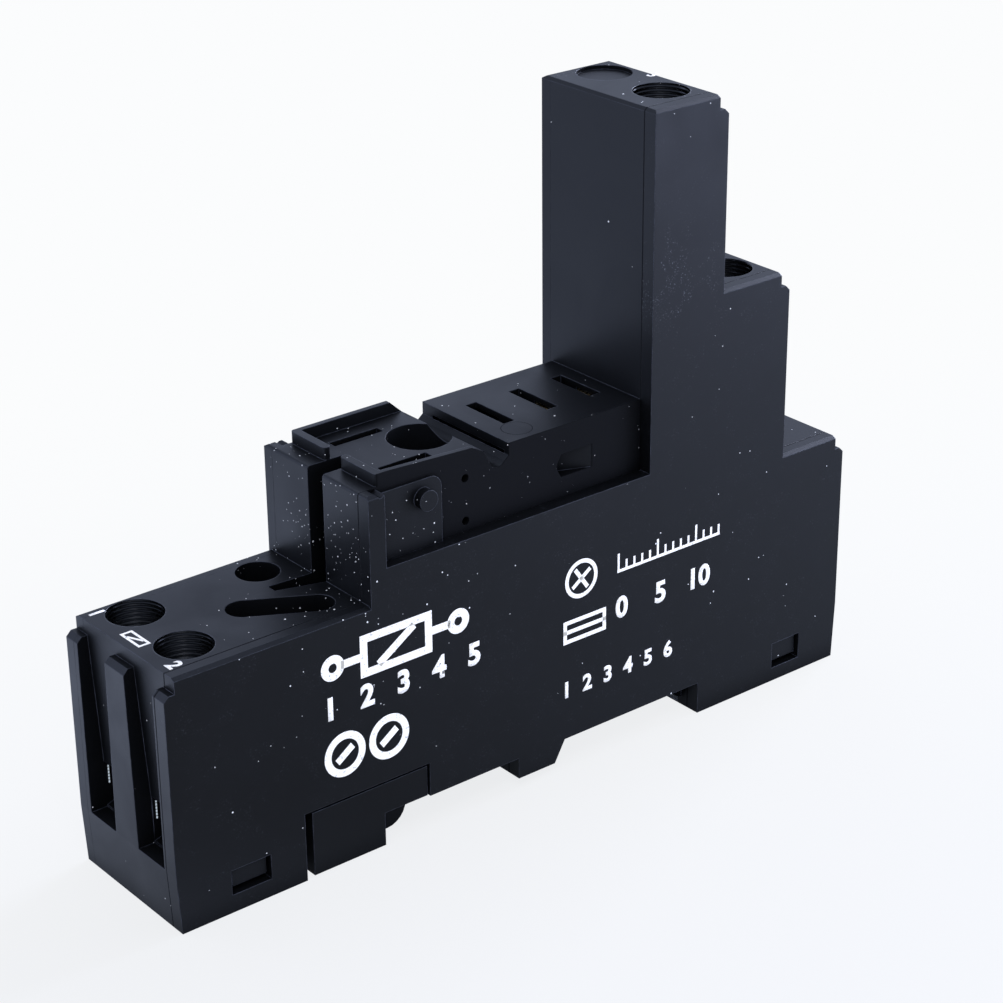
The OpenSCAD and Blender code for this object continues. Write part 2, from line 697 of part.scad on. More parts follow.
// Rising cage: jaw, two walls and a threaded roof
module cage(t) {
    low = t[2] - cage_low;
    x0 = along(t, t[4]) - cage_len / 2;
    inner_w = cage_w - 2 * cage_wall;
    color(steel) placed() difference() {
        slab([x0, t[3] - cage_w / 2, low], [x0 + cage_len, t[3] + cage_w / 2, low + cage_h]);
        slab([x0 - 1, t[3] - inner_w / 2, low + cage_wall],
            [x0 + cage_len + 1, t[3] + inner_w / 2, low + cage_h - cage_roof]);
        translate([x0 + cage_len / 2, t[3], low]) cylinder(r = thread_r + run_gap, h = cage_h + 1, $fn = 48);
    }
}

// Half outline of a forked spring contact of height h, from its foot round the leaf
function fork_side(h, foot) = let (g = leaf_gap / 2, out = g + leaf_t) concat(
    foot > out ? [[foot, 0], [foot, leaf_t], [out, leaf_t]] : [[out, 0]],
    [[out, 0.3 * h], [out + 0.2, 0.5 * h], [out, 0.84 * h], [out + 0.3, h]],
    [[g + 0.3, h], [g, 0.84 * h], [g + 0.2, 0.5 * h], [g, 0.3 * h], [g, leaf_t]]
);

// Forked spring contact, standing on its foot
module fork(h, foot) {
    half = fork_side(h, foot);
    polygon(concat(half, [for (i = [len(half) - 1:-1:0]) [-half[i][0], half[i][1]]]));
}

module coil_contact(y) {
    color(brass) placed() translate([coil_clip_x, y, foot_z]) rotate([90, 0, 90])
        linear_extrude(coil_clip_l) fork(clip_top - foot_z, leaf_gap / 2 + leaf_t);
}

module load_contact(x, y0, foot, top) {
    color(brass) placed() translate([x, y0 + clip_l, foot]) rotate([90, 0, 0])
        linear_extrude(clip_l) fork(top - foot, clip_foot);
}

module screw_coil_far() { clamp_screw(coil_far_t); }
module screw_coil_near() { clamp_screw(coil_near_t); }
module screw_tower() { clamp_screw(tower_t); }
module screw_middle() { clamp_screw(middle_t); }
module screw_low() { clamp_screw(low_t); }
module clamp_coil_far() { cage(coil_far_t); }
module clamp_coil_near() { cage(coil_near_t); }
module clamp_tower() { cage(tower_t); }
module clamp_middle() { cage(middle_t); }
module clamp_low() { cage(low_t); }
module strip_coil_far() { color(brass) placed() union() strip(0); }
module strip_coil_near() { color(brass) placed() union() strip(1); }
module strip_tower() { color(brass) placed() union() strip(2); }
module strip_middle() { color(brass) placed() union() strip(3); }
module strip_low() { color(brass) placed() union() strip(4); }
module contact_coil_far() { coil_contact(mid_y + coil_pin_y); }
module contact_coil_near() { coil_contact(mid_y - coil_pin_y); }
module contact_tower() { load_contact(tower_pin_x, near_clip_y, foot_z, clip_top); }
module contact_middle() { load_contact(mid_pin_x, near_clip_y, foot_z, clip_top); }
module contact_low() { load_contact(low_pin_x, far_clip_y, low_foot_z, low_clip_top); }

housing();
side_cover();
rail_clip();
screw_coil_far();
screw_coil_near();
screw_tower();
screw_middle();
screw_low();
clamp_coil_far();
clamp_coil_near();
clamp_tower();
clamp_middle();
clamp_low();
strip_coil_far();
strip_coil_near();
strip_tower();
strip_middle();
strip_low();
contact_coil_far();
contact_coil_near();
contact_tower();
contact_middle();
contact_low();
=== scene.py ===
"""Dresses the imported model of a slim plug-in relay socket and sets it in a plain pale studio.

The solids come from the frame and keep their places. This script gives each of them its finish, adds the
print, the marks of the moulding tool and two small metal lips, and makes the camera and the lights.
"""

from __future__ import annotations

import logging
import math
from dataclasses import dataclass, field
from enum import Enum

import bpy
from mathutils import Matrix, Vector


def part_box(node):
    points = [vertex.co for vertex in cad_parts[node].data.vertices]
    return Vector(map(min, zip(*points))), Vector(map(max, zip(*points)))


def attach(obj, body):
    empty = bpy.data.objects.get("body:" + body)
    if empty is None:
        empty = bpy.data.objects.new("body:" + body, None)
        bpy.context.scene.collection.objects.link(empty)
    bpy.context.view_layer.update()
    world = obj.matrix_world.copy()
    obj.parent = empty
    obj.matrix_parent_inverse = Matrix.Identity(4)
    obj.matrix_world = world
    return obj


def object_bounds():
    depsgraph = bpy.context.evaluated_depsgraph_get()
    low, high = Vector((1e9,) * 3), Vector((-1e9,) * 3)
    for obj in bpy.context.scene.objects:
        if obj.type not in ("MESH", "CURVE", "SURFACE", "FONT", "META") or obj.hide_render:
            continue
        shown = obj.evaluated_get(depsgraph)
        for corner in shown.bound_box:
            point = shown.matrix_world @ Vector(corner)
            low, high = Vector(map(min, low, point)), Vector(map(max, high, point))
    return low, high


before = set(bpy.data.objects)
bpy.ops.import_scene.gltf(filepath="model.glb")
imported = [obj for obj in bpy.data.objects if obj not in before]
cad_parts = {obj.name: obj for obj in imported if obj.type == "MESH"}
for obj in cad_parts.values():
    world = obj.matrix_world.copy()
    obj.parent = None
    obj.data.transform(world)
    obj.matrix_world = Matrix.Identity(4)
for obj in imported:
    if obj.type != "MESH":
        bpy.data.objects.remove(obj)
CAD_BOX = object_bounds()

LOG = logging.getLogger("relay_socket")
MM = 0.001
LOW = CAD_BOX[0]
TERMINALS = ("coil_far", "coil_near", "tower", "middle", "low")
# Planes across the socket, in millimetres from the cover face: the cover's seam and the far parting line
SEAM_Y = 1.5
FAR_PART_Y = 14.55

Tree = bpy.types.NodeTree
Signal = bpy.types.NodeSocket
# A point of a flat drawing, the two ends of a range, and three numbers of a place, a turn or a tint
Point = tuple[float, float]
Span = tuple[float, float]
Triple = tuple[float, float, float]


def place(x: float, y: float, z: float) -> Vector:
    """Turns millimetres from the coil end, the cover face and the base into a place in the frame."""
    return Vector((LOW.x + x * MM, LOW.y + y * MM, LOW.z + z * MM))


def per_mm(size_mm: float) -> float:
    """Turns the size of a pattern's cell, in millimetres, into the scale of its texture."""
    return 1 / (size_mm * MM)


def linear(code: str) -> tuple[float, float, float, float]:
    """Turns an sRGB hex colour into Blender's linear one.

    Args:
        code: Six hex digits, red first.

    Returns:
        Red, green, blue and an alpha of one.
    """
    parts = [int(code[i:i + 2], 16) / 255 for i in (0, 2, 4)]
    return (*(c / 12.92 if c <= 0.04045 else ((c + 0.055) / 1.055) ** 2.4 for c in parts), 1.0)


def add(tree: Tree, kind: str, inputs: dict | None = None, **options: object) -> bpy.types.Node:
    """Adds one shader node with its settings and links.

    Args:
        tree: Node tree that takes the node.
        kind: Blender's name for the node, without its ShaderNode prefix.
        inputs: What each input holds, by name or number: a value, or a socket to link from.
        options: Properties of the node, such as operation.

    Returns:
        The new node.
    """
    node = tree.nodes.new("ShaderNode" + kind)
    for name, value in options.items():
        setattr(node, name, value)
    for key, value in (inputs or {}).items():
        if isinstance(value, bpy.types.NodeSocket):
            tree.links.new(value, node.inputs[key])
        else:
            node.inputs[key].default_value = value
    return node


def new_material(name: str) -> tuple[bpy.types.Material, Tree, bpy.types.Node]:
    """Makes an empty node material.

    Args:
        name: Name of the material.

    Returns:
        The material, its node tree and its output node.
    """
    material = bpy.data.materials.new(name)
    material.use_nodes = True
    tree = material.node_tree
    tree.nodes.clear()
    return material, tree, add(tree, "OutputMaterial")


def band(tree: Tree, where: Signal, y: float, half_mm: float) -> Signal:
    """Marks a thin band of the surface round a plane across the socket.

    Args:
        tree: Node tree of the material.
        where: Object coordinates.
        y: Triple of the plane, in millimetres from the cover face.
        half_mm: Half width of the band.

    Returns:
        A mask that is one in the band.
    """
    split = add(tree, "SeparateXYZ", {"Vector": where})
    off = add(tree, "Math", {0: split.outputs["Y"], 1: LOW.y + y * MM}, operation="SUBTRACT")
    off = add(tree, "Math", {0: off.outputs[0]}, operation="ABSOLUTE")
    return add(tree, "Math", {0: off.outputs[0], 1: half_mm * MM}, operation="LESS_THAN").outputs[0]


def seen_directly(tree: Tree) -> Signal:
    """Marks the rays that show a surface itself: from the camera, a reflection or through glass.

    Args:
        tree: Node tree that asks.

    Returns:
        One for such a ray.
    """
    path = add(tree, "LightPath")
    seen = add(tree, "Math", {0: path.outputs["Is Camera Ray"], 1: path.outputs["Is Glossy Ray"]},
               operation="MAXIMUM")
    return add(tree, "Math", {0: seen.outputs[0], 1: path.outputs["Is Transmission Ray"]},
               operation="MAXIMUM").outputs[0]


class Gloss(Enum):
    """How a skin was finished or soiled, as the roughness that it shows."""

    POLISHED = 0.22
    SATIN = 0.36
    EVEN = 0.44
    DUSTY = 0.9


@dataclass(frozen=True)
class SpeckSize:
    """One size of dust speck.

    Its cell is in millimetres and its largest radius is a share of the cell. Sparse and dense are the shares
    of the cells that hold a speck, on clean skin and in the thick of the dust.
    """

    cell_mm: float
    radius: float
    sparse: float
    dense: float


@dataclass(frozen=True)
class Dust:
    """White dust specks, thickest round the front of the relay seat and along the cover's seam."""

    colour: str = "dfe3ea"
    sizes: tuple[SpeckSize, ...] = (SpeckSize(0.34, 0.22, 0.006, 0.34), SpeckSize(0.6, 0.17, 0.013, 0.38),
                                    SpeckSize(1.4, 0.085, 0.024, 0.34))
    thickest: Triple = (23.5, 4.5, 27.5)
    reach_mm: Span = (3.0, 17.0)
    beyond: float = 0.05
    patch_mm: float = 3.846
    patch_edge: Span = (0.35, 0.65)
    seam_half_mm: float = 0.16
    seam_share: float = 0.25

    def mask(self, tree: Tree, where: Signal, amount: float) -> Signal:
        """Scatters the specks.

        Args:
            tree: Node tree of the material.
            where: Object coordinates.
            amount: How much dust lies on this moulding, as a share.

        Returns:
            A mask that is one on a speck.
        """
        far = add(tree, "VectorMath", {0: where, 1: tuple(place(*self.thickest))}, operation="DISTANCE")
        near = add(tree, "MapRange", {"Value": far.outputs["Value"], "From Min": self.reach_mm[0] * MM,
                                      "From Max": self.reach_mm[1] * MM, "To Min": 1.0,
                                      "To Max": self.beyond})
        patch = add(tree, "TexNoise", {"Vector": where, "Scale": per_mm(self.patch_mm), "Detail": 2.0})
        patch = add(tree, "MapRange", {"Value": patch.outputs["Fac"], "From Min": self.patch_edge[0],
                                       "From Max": self.patch_edge[1]})
        crowd = add(tree, "Math", {0: near.outputs[0], 1: patch.outputs[0]}, operation="MULTIPLY")
        seam = band(tree, where, SEAM_Y, self.seam_half_mm)
        crowd = add(tree, "Math", {0: seam, 1: self.seam_share, 2: crowd.outputs[0]},
                    operation="MULTIPLY_ADD")
        total = None
        for size in self.sizes:
            cells = add(tree, "TexVoronoi", {"Vector": where, "Scale": per_mm(size.cell_mm)})
            pick = add(tree, "SeparateColor", {"Color": cells.outputs["Color"]})
            share = add(tree, "MapRange", {"Value": crowd.outputs[0], "To Min": size.sparse * amount,
                                           "To Max": size.dense * amount})
            kept = add(tree, "Math", {0: pick.outputs[0], 1: share.outputs[0]}, operation="LESS_THAN")
            radius = add(tree, "Math", {0: pick.outputs[1], 1: size.radius}, operation="MULTIPLY")
            dot = add(tree, "Math", {0: cells.outputs["Distance"], 1: radius.outputs[0]},
                      operation="LESS_THAN")
            speck = add(tree, "Math", {0: kept.outputs[0], 1: dot.outputs[0]}, operation="MULTIPLY")
            if total is None:
                total = speck
            else:
                total = add(tree, "Math", {0: total.outputs[0], 1: speck.outputs[0]}, operation="MAXIMUM")
        return total.outputs[0]


@dataclass(frozen=True)
class Scuff:
    """A powdery scuff on the cover beside the tower's foot, where hands have rubbed the skin."""

    colour: str = "8d93a3"
    middle: Triple = (58.0, 0.0, 47.0)
    reach_mm: Span = (1.5, 6.0)
    beyond: float = 0.12
    powder_mm: float = 0.1923
    powder_edge: Span = (0.58, 0.74)
    smear_mm: float = 2.381
    smear_edge: Span = (0.5, 0.66)
    swirl: float = 1.2

    def mask(self, tree: Tree, where: Signal, amount: float) -> Signal:
        """Powders the skin.

        Args:
            tree: Node tree of the material.
            where: Object coordinates.
            amount: How strong the scuff is on this moulding.

        Returns:
            Strength of the powder.
        """
        far = add(tree, "VectorMath", {0: where, 1: tuple(place(*self.middle))}, operation="DISTANCE")
        near = add(tree, "MapRange", {"Value": far.outputs["Value"], "From Min": self.reach_mm[0] * MM,
                                      "From Max": self.reach_mm[1] * MM, "To Min": 1.0,
                                      "To Max": self.beyond})
        powder = add(tree, "TexNoise", {"Vector": where, "Scale": per_mm(self.powder_mm), "Detail": 2.0})
        powder = add(tree, "MapRange", {"Value": powder.outputs["Fac"], "From Min": self.powder_edge[0],
                                        "From Max": self.powder_edge[1]})
        smear = add(tree, "TexNoise", {"Vector": where, "Scale": per_mm(self.smear_mm), "Detail": 3.0,
                                       "Distortion": self.swirl})
        smear = add(tree, "MapRange", {"Value": smear.outputs["Fac"], "From Min": self.smear_edge[0],
                                       "From Max": self.smear_edge[1]})
        haze = add(tree, "Math", {0: powder.outputs[0], 1: smear.outputs[0]}, operation="MULTIPLY")
        haze = add(tree, "Math", {0: haze.outputs[0], 1: near.outputs[0]}, operation="MULTIPLY")
        return add(tree, "Math", {0: haze.outputs[0], 1: amount}, operation="MULTIPLY").outputs[0]


@dataclass(frozen=True)
class BoreFinish:
    """Glossy walls with fine turned rings, as a polished core pin leaves them in the screwdriver bores."""

    gloss: Gloss = Gloss.POLISHED
    radius_mm: float = 2.72
    pitch_mm: float = 0.42
    depth_mm: float = 0.034

    def mask(self, tree: Tree, where: Signal) -> Signal:
        """Marks the walls of the bores.

        Args:
            tree: Node tree of the material.
            where: Object coordinates.

        Returns:
            A mask that is one in a bore.
        """
        split = add(tree, "SeparateXYZ", {"Vector": where})
        flat = add(tree, "CombineXYZ", {"X": split.outputs["X"], "Y": split.outputs["Y"]})
        nearest = None
        for terminal in TERMINALS:
            low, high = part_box("screw_" + terminal)
            axis = (low + high) / 2
            gap = add(tree, "VectorMath", {0: flat.outputs[0], 1: (axis.x, axis.y, 0)}, operation="DISTANCE")
            gap = gap.outputs["Value"]
            if nearest is not None:
                gap = add(tree, "Math", {0: nearest, 1: gap}, operation="MINIMUM").outputs[0]
            nearest = gap
        return add(tree, "Math", {0: nearest, 1: self.radius_mm * MM}, operation="LESS_THAN").outputs[0]

    def rings(self, tree: Tree, where: Signal, bore: Signal) -> Signal:
        """Turns the rings into the walls.

        Args:
            tree: Node tree of the material.
            where: Object coordinates.
            bore: Mask of the bores.

        Returns:
            Height of the rings.
        """
        split = add(tree, "SeparateXYZ", {"Vector": where})
        turn = add(tree, "Math", {0: split.outputs["Z"], 1: 2 * math.pi / (self.pitch_mm * MM)},
                   operation="MULTIPLY")
        wave = add(tree, "Math", {0: turn.outputs[0]}, operation="SINE")
        return add(tree, "Math", {0: bore, 1: wave.outputs[0]}, operation="MULTIPLY").outputs[0]


@dataclass(frozen=True)
class PinMark:
    """The faint round witness line that one ejector pin leaves on the relay seat."""

    middle: Triple
    radius_mm: float
    half_mm: float = 0.045

    def mask(self, tree: Tree, where: Signal) -> Signal:
        """Marks the line.

        Args:
            tree: Node tree of the material.
            where: Object coordinates.

        Returns:
            A mask that is one on the line.
        """
        far = add(tree, "VectorMath", {0: where, 1: tuple(place(*self.middle))}, operation="DISTANCE")
        off = add(tree, "Math", {0: far.outputs["Value"], 1: self.radius_mm * MM}, operation="SUBTRACT")
        off = add(tree, "Math", {0: off.outputs[0]}, operation="ABSOLUTE")
        return add(tree, "Math", {0: off.outputs[0], 1: self.half_mm * MM}, operation="LESS_THAN").outputs[0]


@dataclass(frozen=True)
class MouldedPlastic:
    """Black injection-moulded polyamide: satin spark-eroded skin, edges paler from wear and painted
    highlight, dust, seam in painted shade.

    To the eye it is a deep, slightly blue black whose sheen mirrors the pale room and carries a painted blue
    tint.
    In slots and windows the sheen is painted darker by ambient occlusion: painted shade.
    """

    name: str
    colour: str = "090a0c"
    # Painted shade of the cover's seam, and the colour of the tool's marks
    gap_colour: str = "020203"
    gloss: Gloss = Gloss.EVEN
    gloss_spread: Span = (-0.05, 0.06)
    smear_mm: float = 7.692
    smear_edge: Span = (0.3, 0.7)
    smear_swirl: float = 0.6
    specular: float = 0.3
    # Painted reflection: the sheen is tinted blue
    tint: Triple = (0.86, 0.9, 1.0)
    ior: float = 1.5
    rays: int = 6
    grain_mm: float = 0.11
    grain_depth_mm: float = 0.0035
    edge_mm: float = 0.11
    edge_lean: Span = (0.995, 0.72)
    edge_wear: float = 0.9
    # Paler edge colour: wear, and a painted highlight along the edges
    edge_colour: str = "5d6375"
    blotch_mm: float = 1.111
    blotch_edge: Span = (0.35, 0.7)
    blotch_least: float = 0.25
    # Painted shade: reach of the ambient occlusion, where its fade starts and ends, and the sheen kept in
    # recesses
    crevice_mm: float = 4.0
    crevice_open: Span = (0.25, 0.85)
    crevice_sheen: float = 0.12
    seam_half_mm: float = 0.075
    parting_half_mm: float = 0.04
    parting_share: float = 0.5
    pins: tuple[PinMark, ...] = (PinMark((41.2, 3.7, 35.4), 1.45), PinMark((36.6, 12.6, 35.4), 1.2))
    pin_share: float = 0.6
    groove_mm: float = 0.03
    bores: BoreFinish = BoreFinish()
    dust: Dust = Dust()
    specks: float = 1.0
    scuff: Scuff = Scuff()
    hazy: float = 0.0

    def broken(self, tree: Tree, where: Signal) -> Signal:
        """Breaks wear and faint lines up into blotches.

        Args:
            tree: Node tree of the material.
            where: Object coordinates.

        Returns:
            Share of the line or wear that is left.
        """
        blotch = add(tree, "TexNoise", {"Vector": where, "Scale": per_mm(self.blotch_mm), "Detail": 3.0})
        return add(tree, "MapRange", {"Value": blotch.outputs["Fac"], "From Min": self.blotch_edge[0],
                                      "From Max": self.blotch_edge[1], "To Min": self.blotch_least,
                                      "To Max": 1.0}).outputs[0]

    def rub(self, tree: Tree, edge_normal: Signal, broken: Signal) -> Signal:
        """Paints the edges paler, as wear and as a painted highlight, where the rounded normal leans away
        from the face's own.

        Args:
            tree: Node tree of the material.
            edge_normal: Normal of the rounded edges.
            broken: Blotches that break the wear up.

        Returns:
            Strength of the wear and of the painted highlight.
        """
        facing = add(tree, "NewGeometry")
        lean = add(tree, "VectorMath", {0: edge_normal, 1: facing.outputs["Normal"]}, operation="DOT_PRODUCT")
        edge = add(tree, "MapRange", {"Value": lean.outputs["Value"], "From Min": self.edge_lean[0],
                                      "From Max": self.edge_lean[1]})
        rub = add(tree, "Math", {0: edge.outputs[0], 1: broken}, operation="MULTIPLY")
        return add(tree, "Math", {0: rub.outputs[0], 1: self.edge_wear}, operation="MULTIPLY").outputs[0]

    def dark_lines(self, tree: Tree, where: Signal, broken: Signal) -> Signal:
        """Draws the hairline of the cover's seam as painted shade of its gap, the parting line of the tool
        and the ejector pins' marks.

        Args:
            tree: Node tree of the material.
            where: Object coordinates.
            broken: Blotches that break the parting line up.

        Returns:
            Darkness of the lines.
        """
        # Painted shade: the seam between cover and housing is darkened as a hairline
        seam = band(tree, where, SEAM_Y, self.seam_half_mm)
        parting = band(tree, where, FAR_PART_Y, self.parting_half_mm)
        parting = add(tree, "Math", {0: parting, 1: broken}, operation="MULTIPLY")
        parting = add(tree, "Math", {0: parting.outputs[0], 1: self.parting_share}, operation="MULTIPLY")
        dark = add(tree, "Math", {0: seam, 1: parting.outputs[0]}, operation="MAXIMUM")
        for pin in self.pins:
            line = add(tree, "Math", {0: pin.mask(tree, where), 1: self.pin_share}, operation="MULTIPLY")
            dark = add(tree, "Math", {0: dark.outputs[0], 1: line.outputs[0]}, operation="MAXIMUM")
        return dark.outputs[0]

    def roughness(self, tree: Tree, where: Signal, dust_and_dark_lines: Signal, bore: Signal) -> Signal:
        """Works the gloss out: faint broad smears of handling, dull dust and seams, glossy bores.

        Args:
            tree: Node tree of the material.
            where: Object coordinates.
            dust_and_dark_lines: Mask of the dust and the dark lines.
            bore: Mask of the bores.

        Returns:
            The roughness.
        """
        smear = add(tree, "TexNoise", {"Vector": where, "Scale": per_mm(self.smear_mm), "Detail": 4.0,
                                       "Distortion": self.smear_swirl})
        rough = add(tree, "MapRange", {"Value": smear.outputs["Fac"], "From Min": self.smear_edge[0],
                                       "From Max": self.smear_edge[1],
                                       "To Min": self.gloss.value + self.gloss_spread[0],
                                       "To Max": self.gloss.value + self.gloss_spread[1]})
        rough = add(tree, "Mix", {0: dust_and_dark_lines, 2: rough.outputs[0], 3: Gloss.DUSTY.value})
        return add(tree, "Mix", {0: bore, 2: rough.outputs[0], 3: self.bores.gloss.value}).outputs[0]

    def sheen(self, tree: Tree, bore: Signal) -> Signal:
        """Works the sheen out, with painted shade: ambient occlusion lowers the specular level in narrow
        slots and windows.

        Args:
            tree: Node tree of the material.
            bore: Mask of the bores, which keep theirs.

        Returns:
            The specular level.
        """
        # Painted shade: ambient occlusion lowers the specular level in recesses
        ao_shade = add(tree, "AmbientOcclusion", {"Distance": self.crevice_mm * MM}, samples=self.rays)
        sheen = add(tree, "MapRange", {"Value": ao_shade.outputs["AO"], "From Min": self.crevice_open[0],
                                       "From Max": self.crevice_open[1],
                                       "To Min": self.specular * self.crevice_sheen, "To Max": self.specular})
        return add(tree, "Mix", {0: bore, 2: sheen.outputs[0], 3: self.specular}).outputs[0]

    def material(self) -> bpy.types.Material:
        """Builds the material."""
        material, tree, out = new_material(self.name)
        where = add(tree, "TexCoord").outputs["Object"]
        # Rounded edges of the tool catch the light as a fine line
        round_edge = add(tree, "Bevel", {"Radius": self.edge_mm * MM}, samples=self.rays)
        broken = self.broken(tree, where)
        # The seam's hairline in these lines is painted shade
        dark = self.dark_lines(tree, where, broken)
        specks = self.dust.mask(tree, where, self.specks)
        bore = self.bores.mask(tree, where)
        # Paler edges: wear and a painted highlight
        layers = ((self.rub(tree, round_edge.outputs[0], broken), self.edge_colour), (dark, self.gap_colour),
                  (self.scuff.mask(tree, where, self.hazy), self.scuff.colour), (specks, self.dust.colour))
        colour = linear(self.colour)
        for mask, paint in layers:
            colour = add(tree, "Mix", {0: mask, 6: colour, 7: linear(paint)}, data_type="RGBA").outputs[2]
        dust_and_dark_lines = add(tree, "Math", {0: specks, 1: dark}, operation="MAXIMUM")
        rough = self.roughness(tree, where, dust_and_dark_lines.outputs[0], bore)
        # The spark-eroded grain, the rings of the bores and the grooves lie on each other
        grain = add(tree, "TexNoise", {"Vector": where, "Scale": per_mm(self.grain_mm), "Detail": 2.0})
        skin = add(tree, "Bump", {"Height": grain.outputs["Fac"], "Distance": self.grain_depth_mm * MM,
                                  "Normal": round_edge.outputs[0]})
        rings = add(tree, "Bump", {"Height": self.bores.rings(tree, where, bore),
                                   "Distance": self.bores.depth_mm * MM, "Normal": skin.outputs[0]})
        groove = add(tree, "Bump", {"Height": dark, "Distance": self.groove_mm * MM,
                                    "Normal": rings.outputs[0]}, invert=True)
        shader = add(tree, "BsdfPrincipled", {"Base Color": colour, "Roughness": rough, "IOR": self.ior,
                                              "Normal": groove.outputs[0],
                                              "Specular IOR Level": self.sheen(tree, bore),
                                              "Specular Tint": (*self.tint, 1.0)})
        tree.links.new(shader.outputs[0], out.inputs["Surface"])
        return material


@dataclass(frozen=True)
class WorkedMetal:
    """Plated or rolled metal: to the eye a soft shine drawn into lines, with light clouds of tarnish."""

    name: str
    colour: str
    tarnish: str
    roughness: float = 0.3
    spread: Span = (-0.08, 0.12)
    line_mm: float = 0.06
    line_depth_mm: float = 0.002
    stretch: Triple = (0.06, 1.0, 1.0)
    cloud_mm: float = 1.667
    cloud_edge: Span = (0.48, 0.75)

    def material(self) -> bpy.types.Material:
        """Builds the material."""
        material, tree, out = new_material(self.name)
        where = add(tree, "TexCoord").outputs["Object"]
        drawn = add(tree, "Mapping", {"Vector": where, "Scale": self.stretch})
        lines = add(tree, "TexNoise", {"Vector": drawn.outputs[0], "Scale": per_mm(self.line_mm),
                                       "Detail": 2.0})
        cloud = add(tree, "TexNoise", {"Vector": where, "Scale": per_mm(self.cloud_mm), "Detail": 4.0})
        stain = add(tree, "MapRange", {"Value": cloud.outputs["Fac"], "From Min": self.cloud_edge[0],
                                       "From Max": self.cloud_edge[1]})
        colour = add(tree, "Mix", {0: stain.outputs[0], 6: linear(self.colour), 7: linear(self.tarnish)},
                     data_type="RGBA")
        rough = add(tree, "MapRange", {"Value": lines.outputs["Fac"],
                                       "To Min": self.roughness + self.spread[0],
                                       "To Max": self.roughness + self.spread[1]})
        skin = add(tree, "Bump", {"Height": lines.outputs["Fac"], "Distance": self.line_depth_mm * MM})
        shader = add(tree, "BsdfPrincipled", {"Base Color": colour.outputs[2], "Metallic": 1.0,
                                              "Roughness": rough.outputs[0], "Normal": skin.outputs[0]})
        tree.links.new(shader.outputs[0], out.inputs["Surface"])
        return material


@dataclass(frozen=True)
class PadPrint:
    """Pad-printing ink: to the eye a dense matt white, a little thin in flecks where the pad lifted, with a
    faint painted glow.
    """

    name: str = "white_print"
    colour: str = "f4f5f7"
    thin: str = "b4b9c0"
    fleck_mm: float = 0.2381
    fleck_edge: Span = (0.56, 0.72)
    roughness: float = 0.6
    ior: float = 1.48
    # Painted glow: strength of the ink's emission
    glow: float = 0.12

    def material(self) -> bpy.types.Material:
        """Builds the material."""
        material, tree, out = new_material(self.name)
        where = add(tree, "TexCoord").outputs["Object"]
        fleck = add(tree, "TexNoise", {"Vector": where, "Scale": per_mm(self.fleck_mm), "Detail": 3.0})
        gap = add(tree, "MapRange", {"Value": fleck.outputs["Fac"], "From Min": self.fleck_edge[0],
                                     "From Max": self.fleck_edge[1]})
        colour = add(tree, "Mix", {0: gap.outputs[0], 6: linear(self.colour), 7: linear(self.thin)},
                     data_type="RGBA")
        # Painted glow: the ink emits a little light of its own colour, so it looks brighter than its lighting
        # makes it
        shader = add(tree, "BsdfPrincipled", {"Base Color": colour.outputs[2], "Roughness": self.roughness,
                                              "IOR": self.ior, "Emission Color": colour.outputs[2],
                                              "Emission Strength": self.glow})
        tree.links.new(shader.outputs[0], out.inputs["Surface"])
        return material


@dataclass
class Dressing:
    """Finishes of the solids that come with the frame."""

    housing: MouldedPlastic = MouldedPlastic("housing_moulding", specks=1.5)
    cover: MouldedPlastic = MouldedPlastic("cover_moulding", specks=0.35, hazy=0.7)
    clip: MouldedPlastic = MouldedPlastic("clip_moulding", gloss=Gloss.SATIN, specks=0.3)
    screws: WorkedMetal = WorkedMetal("zinc_plated_screw", "c9cacb", "8f8d86", 0.28)
    cages: WorkedMetal = WorkedMetal("zinc_plated_cage", "bfc1c2", "85847c", 0.33)
    strips: WorkedMetal = WorkedMetal("rolled_brass", "d8b66a", "96783c", 0.3)
    contacts: WorkedMetal = WorkedMetal("contact_bronze", "f3dfae", "b9975a", 0.24)

    def dress(self) -> None:
        """Gives every solid of the frame its finish."""
        finishes = {"housing": self.housing, "side_cover": self.cover, "rail_clip": self.clip,
                    "screw": self.screws, "clamp": self.cages, "strip": self.strips, "contact": self.contacts}
        made = {kind: finish.material() for kind, finish in finishes.items()}
        for name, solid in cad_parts.items():
            kind = name if name in made else name.split("_")[0]
            solid.data.materials.clear()
            solid.data.materials.append(made[kind])
            LOG.info("dressed %s as %s", name, made[kind].name)


